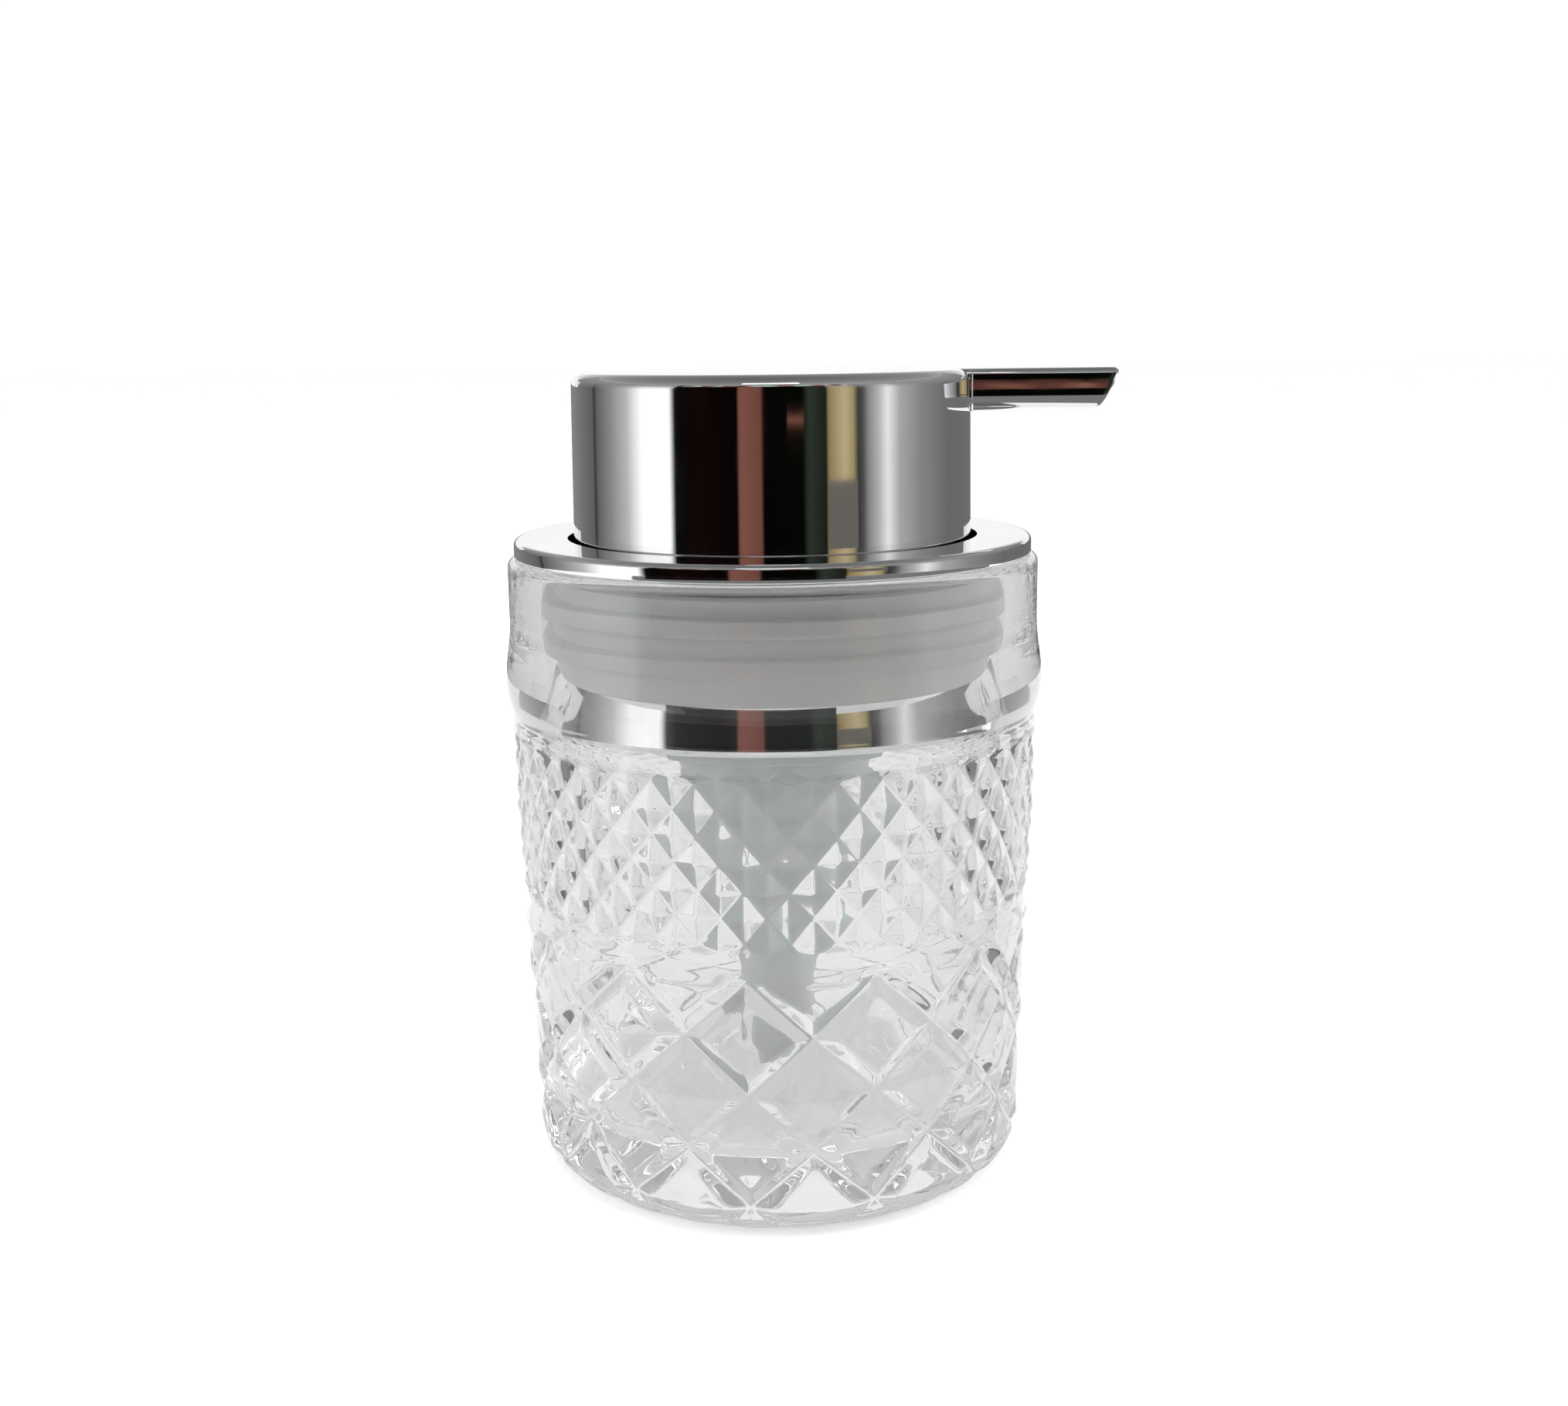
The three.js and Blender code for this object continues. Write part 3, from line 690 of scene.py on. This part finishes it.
def chrome():
    """Mirror plating: faint wiping marks in the gloss and a slight waviness."""
    paint = Paint("mirror_chrome", Metallic=1.0)
    paint.colours(paint.noise(16, 3), (0.80, 0.805, 0.81), (0.86, 0.865, 0.87))
    paint.roughness(paint.noise(5, 5, (1, 1, 3)), 0.025, 0.07)
    paint.bump(paint.noise(9, 1), 0.006)
    return paint.material


def moulded_plastic(name, dark, light, rough, grain_mm, grain_height, **constants):
    """Moulded plastic with a slight clouding, an uneven gloss and a fine grain."""
    paint = Paint(name, **constants)
    paint.colours(paint.noise(11, 4), dark, light)
    paint.roughness(paint.noise(3, 4), rough - 0.06, rough + 0.06)
    paint.bump(paint.noise(grain_mm, 3), grain_height)
    paint.bump(paint.noise(14, 1), 0.05)
    return paint.material


def drawn_steel():
    paint = Paint("drawn_steel", Metallic=1.0)
    paint.colours(paint.noise(4, 3), (0.52, 0.53, 0.54), (0.66, 0.67, 0.68))
    paint.roughness(paint.noise(0.4, 3, (4, 4, 1)), 0.2, 0.36)
    paint.bump(paint.noise(0.25, 2, (5, 5, 1)), 0.008)
    return paint.material


def satin_seal():
    return moulded_plastic("satin_seal", (0.84, 0.84, 0.84), (0.88, 0.88, 0.88), rough=0.42,
                           grain_mm=0.3, grain_height=0.006, Subsurface_Weight=0.25, Subsurface_Scale=0.002)


def frosted_polymer():
    return moulded_plastic("frosted_polymer", (0.90, 0.90, 0.90), (0.94, 0.94, 0.94), rough=0.4,
                           grain_mm=0.25, grain_height=0.006, Subsurface_Weight=0.4, Subsurface_Scale=0.003)


def white_polymer():
    return moulded_plastic("white_polymer", (0.82, 0.82, 0.80), (0.88, 0.88, 0.86), rough=0.32,
                           grain_mm=0.3, grain_height=0.004)


def grey_rubber():
    return moulded_plastic("grey_rubber", (0.38, 0.38, 0.37), (0.48, 0.48, 0.47), rough=0.7,
                           grain_mm=0.15, grain_height=0.02)


MATERIALS = {
    "clear_glass": clear_glass(),
    "chrome": chrome(),
    "seal_plastic": satin_seal(),
    "frosted_plastic": frosted_polymer(),
    "white_plastic": white_polymer(),
    "gasket_rubber": grey_rubber(),
    "steel": drawn_steel(),
}


def finish_in(obj, slot):
    obj.data.materials.clear()
    obj.data.materials.append(MATERIALS[slot])


SHELLS = (
    # builder, node it stands for, body, slot
    (glass_jar, "glass_jar", "jar", "clear_glass"),
    (chrome_cup, "chrome_cup", "insert", "chrome"),
    (press_drum, "press_head", "head", "chrome"),
    (spout_arm, "spout", "head", "chrome"),
    (rib_seal, "mouth_seal", "insert", "seal_plastic"),
    (clamp_ring, "clamp_ring", "insert", "frosted_plastic"),
    (pump_housing, "pump_housing", "insert", "frosted_plastic"),
    (guide_cap, "guide_cap", "insert", "white_plastic"),
    (dip_tube, "dip_tube", "insert", "frosted_plastic"),
    (return_spring, "return_spring", "insert", "steel"),
)
for build, node, body, slot in SHELLS:
    shell = build()
    finish_in(shell, slot)
    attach(shell, body)
    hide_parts(node)

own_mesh(bpy.data.objects["coil_return_spring"])

NODE_SLOTS = {
    "glass_jar": "clear_glass", "chrome_cup": "chrome", "press_head": "chrome", "spout": "chrome",
    "mouth_seal": "seal_plastic", "clamp_ring": "frosted_plastic", "pump_housing": "frosted_plastic",
    "dip_tube": "frosted_plastic", "stem_wiper": "gasket_rubber", "floor_gasket": "gasket_rubber",
    "return_spring": "steel", "outlet_ball": "steel", "inlet_ball": "steel",
}
for name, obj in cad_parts.items():
    finish_in(obj, NODE_SLOTS.get(name, "white_plastic"))


# ---- Stage: floor, reflection walls, lights and camera ----
ROOM = 0.66             # brightness of the room, for everything but the camera's direct view
THROUGH_GLASS = 0.80    # painted glow of the floor behind the jar, seen through the glass in place of its lighting
ASIDE_IN_GLASS = 0.58   # and of the floor to either side of it
BEHIND = 0.02           # distances from the middle plane between which it changes, in metres
ASIDE = 0.12


def light_path(tree, socket, base, camera=None, glossy=None, transmission=None):
    """Sets a strength to base, but to another value for each kind of ray that is named."""
    rays = tree.nodes.new("ShaderNodeLightPath")
    values = {"Is Glossy Ray": glossy, "Is Transmission Ray": transmission, "Is Camera Ray": camera}
    result = None
    for ray, value in values.items():
        if value is None:
            continue
        pick = tree.nodes.new("ShaderNodeMapRange")
        pick.inputs["To Min"].default_value = base
        if isinstance(value, bpy.types.NodeSocket):
            tree.links.new(value, pick.inputs["To Max"])
        else:
            pick.inputs["To Max"].default_value = value
        if result:
            tree.links.new(result, pick.inputs["To Min"])
        tree.links.new(rays.outputs[ray], pick.inputs["Value"])
        result = pick.outputs["Result"]
    tree.links.new(result, socket)


def split_place(tree, place):
    """The X, Y and Z of a place, as sockets."""
    split = tree.nodes.new("ShaderNodeSeparateXYZ")
    tree.links.new(place, split.inputs["Vector"])
    return split.outputs


def colour_ramp(tree, value, tones):
    """Turns a value into a colour, through pairs of a value and its colour in rising order."""
    ramp = tree.nodes.new("ShaderNodeValToRGB")
    stops = ramp.color_ramp.elements
    while len(stops) < len(tones):
        stops.new(1.0)
    for stop, (place, colour) in zip(stops, tones):
        stop.position = place
        stop.color = (*colour, 1)
    tree.links.new(value, ramp.inputs["Fac"])
    return ramp.outputs["Color"]


def pale_floor():
    """White floor. The camera sees it lifted to white. Through the glass it shows mostly a painted glow in
    place of its own light and shade, lighter in a strip behind the jar than to either side.
    """
    paint = Paint("pale_floor")
    paint.colours(paint.noise(120, 3), (0.90, 0.90, 0.90), (0.92, 0.92, 0.92))
    paint.roughness(paint.noise(60, 3), 0.6, 0.7)
    paint.shader.inputs["Emission Color"].default_value = (1, 1, 1, 1)
    light_path(paint.tree, paint.shader.inputs["Emission Strength"], 0.0, camera=1.02 - 0.9 * ROOM)
    # Painted light: rays through the glass see mostly this set glow, not the floor's own light and shade.
    even = paint.tree.nodes.new("ShaderNodeEmission")
    aside = paint.tree.nodes.new("ShaderNodeMath")
    aside.operation = "ABSOLUTE"
    paint.tree.links.new(split_place(paint.tree, paint.place)["X"], aside.inputs[0])
    level = paint.between(aside.outputs["Value"], THROUGH_GLASS, ASIDE_IN_GLASS, BEHIND, ASIDE)
    paint.tree.links.new(level, even.inputs["Strength"])
    blend = paint.tree.nodes.new("ShaderNodeMixShader")
    light_path(paint.tree, blend.inputs["Fac"], 0.0, transmission=0.75)
    paint.tree.links.new(paint.shader.outputs["BSDF"], blend.inputs[1])
    paint.tree.links.new(even.outputs["Emission"], blend.inputs[2])
    paint.tree.links.new(blend.outputs["Shader"], paint.tree.nodes["Material Output"].inputs["Surface"])
    return paint.material


def floor():
    size = 6000
    steps = np.linspace(-size, size, 9)
    verts = [(x, y, -0.05) for y in steps for x in steps]
    n = len(steps)
    corners = [i * n + j for i in range(n - 1) for j in range(n - 1)]
    faces = [(corner, corner + 1, corner + n + 1, corner + n) for corner in corners]
    obj = mesh_piece("floor", verts, faces)
    obj.data.materials.append(pale_floor())


WALL_R = 420            # distance of the reflection walls from the axis
WALL_TONES = (
    # azimuth in degrees from -Y towards +X, and the brightness there
    (-180, (0.22, 0.22, 0.225)),
    (-150, (0.24, 0.24, 0.245)),
    (-118, (0.13, 0.13, 0.135)),
    (-116.5, (0.04, 0.04, 0.04)),
    (-115.5, (0.04, 0.04, 0.04)),
    (-114, (0.12, 0.12, 0.125)),
    (-100, (0.28, 0.28, 0.285)),
    (-86, (0.55, 0.55, 0.555)),
    (-74, (1.25, 1.25, 1.25)),
    (-57, (1.35, 1.35, 1.35)),
    (-55, (0.5, 0.5, 0.51)),
    (-54.2, (0.002, 0.002, 0.002)),
    (-38, (0.006, 0.002, 0.002)),
    (-17.5, (0.001, 0.001, 0.001)),
    (-16.8, (0.24, 0.095, 0.07)),
    (-5.2, (0.17, 0.065, 0.05)),
    (-4.2, (0.001, 0.001, 0.001)),
    (17, (0.001, 0.002, 0.001)),
    (20, (0.03, 0.04, 0.03)),
    (30, (0.01, 0.012, 0.01)),
    (30.8, (0.30, 0.22, 0.10)),
    (40, (0.56, 0.46, 0.26)),
    (45.5, (0.34, 0.28, 0.13)),
    (47, (0.03, 0.03, 0.03)),
    (51.5, (0.10, 0.10, 0.10)),
    (53, (0.24, 0.24, 0.245)),
    (60, (0.50, 0.50, 0.51)),
    (66, (0.92, 0.92, 0.92)),
    (74, (0.45, 0.45, 0.455)),
    (90, (0.27, 0.27, 0.275)),
    (115, (0.16, 0.16, 0.165)),
    (180, (0.17, 0.17, 0.175)),
)


FADE_LOW = 0.12         # heights between which the high walls fade to grey, in metres
FADE_HIGH = 0.30
GREY_ABOVE = 0.3


def glow(name, colour):
    material = bpy.data.materials.new(name)
    material.use_nodes = True
    tree = material.node_tree
    tree.nodes.remove(tree.nodes["Principled BSDF"])
    light = tree.nodes.new("ShaderNodeEmission")
    light.inputs["Color"].default_value = (*colour, 1)
    tree.links.new(light.outputs["Emission"], tree.nodes["Material Output"].inputs["Surface"])
    return material


def azimuth_share(tree, place):
    """The azimuth from -Y towards +X, from 0 at -180 degrees to 1 at 180 degrees."""
    forward = tree.nodes.new("ShaderNodeMath")
    forward.operation = "MULTIPLY"
    forward.inputs[1].default_value = -1
    tree.links.new(place["Y"], forward.inputs[0])
    turn = tree.nodes.new("ShaderNodeMath")
    turn.operation = "ARCTAN2"
    tree.links.new(place["X"], turn.inputs[0])
    tree.links.new(forward.outputs["Value"], turn.inputs[1])
    share = tree.nodes.new("ShaderNodeMapRange")
    share.inputs["From Min"].default_value = -math.pi
    share.inputs["From Max"].default_value = math.pi
    tree.links.new(turn.outputs["Value"], share.inputs["Value"])
    return share.outputs["Result"]


def wall_material(name, fades):
    """Light in the wall's tones. With fades at 1 it turns into an even grey higher up."""
    material = glow(name, (0, 0, 0))
    tree = material.node_tree
    light = tree.nodes["Emission"]
    place = split_place(tree, tree.nodes.new("ShaderNodeTexCoord").outputs["Object"])
    tones = [((azimuth + 180) / 360, colour) for azimuth, colour in WALL_TONES]
    tree.links.new(colour_ramp(tree, azimuth_share(tree, place), tones), light.inputs["Color"])
    upper = tree.nodes.new("ShaderNodeEmission")
    upper.inputs["Strength"].default_value = GREY_ABOVE
    height = tree.nodes.new("ShaderNodeMapRange")
    height.inputs["From Min"].default_value = FADE_LOW
    height.inputs["From Max"].default_value = FADE_HIGH
    height.inputs["To Max"].default_value = fades
    tree.links.new(place["Z"], height.inputs["Value"])
    blend = tree.nodes.new("ShaderNodeMixShader")
    tree.links.new(height.outputs["Result"], blend.inputs["Fac"])
    tree.links.new(light.outputs["Emission"], blend.inputs[1])
    tree.links.new(upper.outputs["Emission"], blend.inputs[2])
    tree.links.new(blend.outputs["Shader"], tree.nodes["Material Output"].inputs["Surface"])
    return material


def shelf_material():
    """A thin line of mixed colours at the camera's height, as on a shelf."""
    material = glow("shelf_tones", (0.3, 0.3, 0.3))
    tree = material.node_tree
    texture = tree.nodes.new("ShaderNodeTexNoise")
    texture.inputs["Scale"].default_value = 16
    texture.inputs["Detail"].default_value = 1
    tree.links.new(tree.nodes.new("ShaderNodeTexCoord").outputs["Object"], texture.inputs["Vector"])
    tones = (
        (0.4, (0.02, 0.02, 0.02)),
        (0.46, (0.28, 0.11, 0.085)),
        (0.54, (0.30, 0.12, 0.09)),
        (0.6, (0.38, 0.5, 0.43)),
    )
    tree.links.new(colour_ramp(tree, texture.outputs["Fac"], tones), tree.nodes["Emission"].inputs["Color"])
    return material


def reflected(name, material, near, far, through_glass):
    """Joins two rows of points into a band that only mirrors and glass see, not the camera."""
    n = len(near)
    faces = [(k, k + 1, k + n + 1, k + n) for k in range(n - 1)]
    obj = mesh_piece(name, np.concatenate([near, far]), faces)
    obj.data.materials.append(material)
    obj.visible_camera = False
    obj.visible_diffuse = False
    obj.visible_transmission = through_glass
    obj.visible_shadow = False


def wall(name, material, from_deg, to_deg, low, high, r=WALL_R, through_glass=True):
    """An upright curved wall around the object."""
    angles = np.radians(np.linspace(from_deg, to_deg, 30))
    reflected(name, material, ring_points(angles, r, low), ring_points(angles, r, high), through_glass)


def ground_ring(name, material, from_deg, to_deg, inner_r, outer_r, through_glass):
    """Part of a flat ring just above the floor."""
    angles = np.radians(np.linspace(from_deg, to_deg, 30))
    lift = 0.1 if outer_r - inner_r > 100 else 0.4
    outer = ring_points(angles, outer_r, lift)
    inner = ring_points(angles, inner_r, lift)
    reflected(name, material, outer, inner, through_glass)


def room():
    tones = wall_material("room_tones", fades=0.0)
    high_tones = wall_material("high_room_tones", fades=1.0)
    low, middle, high = 0.5, 112, 340
    wall("room_front", tones, -54, 30, low, middle)
    wall("room_left", tones, -99, -54, low, middle)
    wall("room_right", tones, 30, 99, low, middle)
    wall("room_front_high", tones, -54, 30, middle, 262, through_glass=False)
    wall("room_shelf", shelf_material(), -54, 44, 262, 335, through_glass=False)
    wall("room_left_high", high_tones, -99, -54, middle, high, through_glass=False)
    wall("room_right_high", high_tones, 30, 99, middle, high, through_glass=False)
    wall("room_back_left", tones, -145, -99, low, middle)
    wall("room_back_right", tones, 99, 145, low, middle)
    wall("room_back_left_high", high_tones, -150, -99, middle, high, through_glass=False)
    wall("room_back_right_high", high_tones, 99, 150, middle, high, through_glass=False)
    wall("room_behind", tones, 145, 215, low, middle, through_glass=False)
    wall("room_back_glow", glow("back_glow", (1.0, 1.0, 1.0)), 140, 220, 112.5, 190, through_glass=False)
    streak = glow("streak", (0.30, 0.12, 0.09))
    wall("room_streak", streak, 8.5, 17.5, 96.2, 98.4, r=WALL_R - 5, through_glass=False)
    wall("gold_foot", glow("gold_foot", (0.15, 0.14, 0.125)), 30.6, 47.4, 40, 76, r=WALL_R - 5)
    wall("top_window", glow("top_window", (1.8, 1.8, 1.8)), -18, 18, 310, 380, r=250, through_glass=False)
    ground_ring("room_foot", tones, -54, 30, 335, WALL_R, through_glass=True)
    # Painted shade: a dark ring just above the floor that only mirrors see, so the chrome shows the floor
    # darker than it is lit.
    dark_ground = glow("dark_ground", (0.20, 0.20, 0.205))
    ground_ring("dark_ground", dark_ground, -60, 105, 70, WALL_R, through_glass=False)


def area_light(name, place_mm, aim_mm, width_mm, height_mm, power):
    light = bpy.data.lights.new(name, "AREA")
    light.shape = "RECTANGLE"
    light.size = width_mm * MM
    light.size_y = height_mm * MM
    light.energy = power
    obj = bpy.data.objects.new(name, light)
    bpy.context.scene.collection.objects.link(obj)
    obj.location = Vector(place_mm) * MM
    obj.rotation_euler = (Vector(aim_mm) * MM - obj.location).to_track_quat("-Z", "Y").to_euler()
    obj.visible_camera = False
    obj.visible_glossy = False


def sky_tones(tree, tones):
    """The world's brightness by the sine of the elevation."""
    direction = tree.nodes.new("ShaderNodeTexCoord").outputs["Generated"]
    greys = [(sine, (level, level, level)) for sine, level in tones]
    return colour_ramp(tree, split_place(tree, direction)["Z"], greys)


floor()
room()
area_light("key_left", (-700, -250, 420), (0, 0, 50), 500, 500, 2.0)
area_light("fill_right", (750, 100, 380), (0, 0, 50), 450, 450, 3.2)
area_light("top_soft", (0, 100, 900), (0, 0, 0), 900, 900, 4.2)

world = bpy.data.worlds.new("pale_studio")
world.use_nodes = True
background = world.node_tree.nodes["Background"]
background.inputs["Color"].default_value = (1, 1, 1, 1)
MIRRORED_SKY = ((0.0, 0.9), (0.2, 0.85), (0.32, 0.58), (0.6, 0.3), (1.0, 0.15))
SKY_IN_GLASS = ((0.0, 0.61), (0.25, 0.58), (0.6, 0.42), (1.0, 0.34))
light_path(world.node_tree, background.inputs["Strength"], ROOM, camera=1.02,
           glossy=sky_tones(world.node_tree, MIRRORED_SKY),
           transmission=sky_tones(world.node_tree, SKY_IN_GLASS))
bpy.context.scene.world = world
bpy.context.scene.view_settings.view_transform = "Standard"
bpy.context.scene.cycles.max_bounces = 32
bpy.context.scene.cycles.glossy_bounces = 16       # light goes round inside the cut glass many times
bpy.context.scene.cycles.transmission_bounces = 24

CAMERA_PLACE = (0, -251.3, 117.1)
CAMERA_DOWN = 11.71
CAMERA_ROLL = -0.67
SENSOR = 36.0
FOCAL_SHARE = 2314 / 2029           # focal length against the frame's width

camera_data = bpy.data.cameras.new("camera")
camera_data.sensor_width = SENSOR
camera_data.lens = SENSOR * FOCAL_SHARE
camera_data.shift_x = 0.0062
camera_data.clip_start = 0.01
camera = bpy.data.objects.new("camera", camera_data)
bpy.context.scene.collection.objects.link(camera)
tilt = Matrix.Rotation(math.radians(90 - CAMERA_DOWN), 4, "X")
roll = Matrix.Rotation(math.radians(CAMERA_ROLL), 4, "Z")
camera.matrix_world = Matrix.Translation(Vector(CAMERA_PLACE) * MM) @ tilt @ roll
bpy.context.scene.camera = camera

bpy.context.view_layer.update()
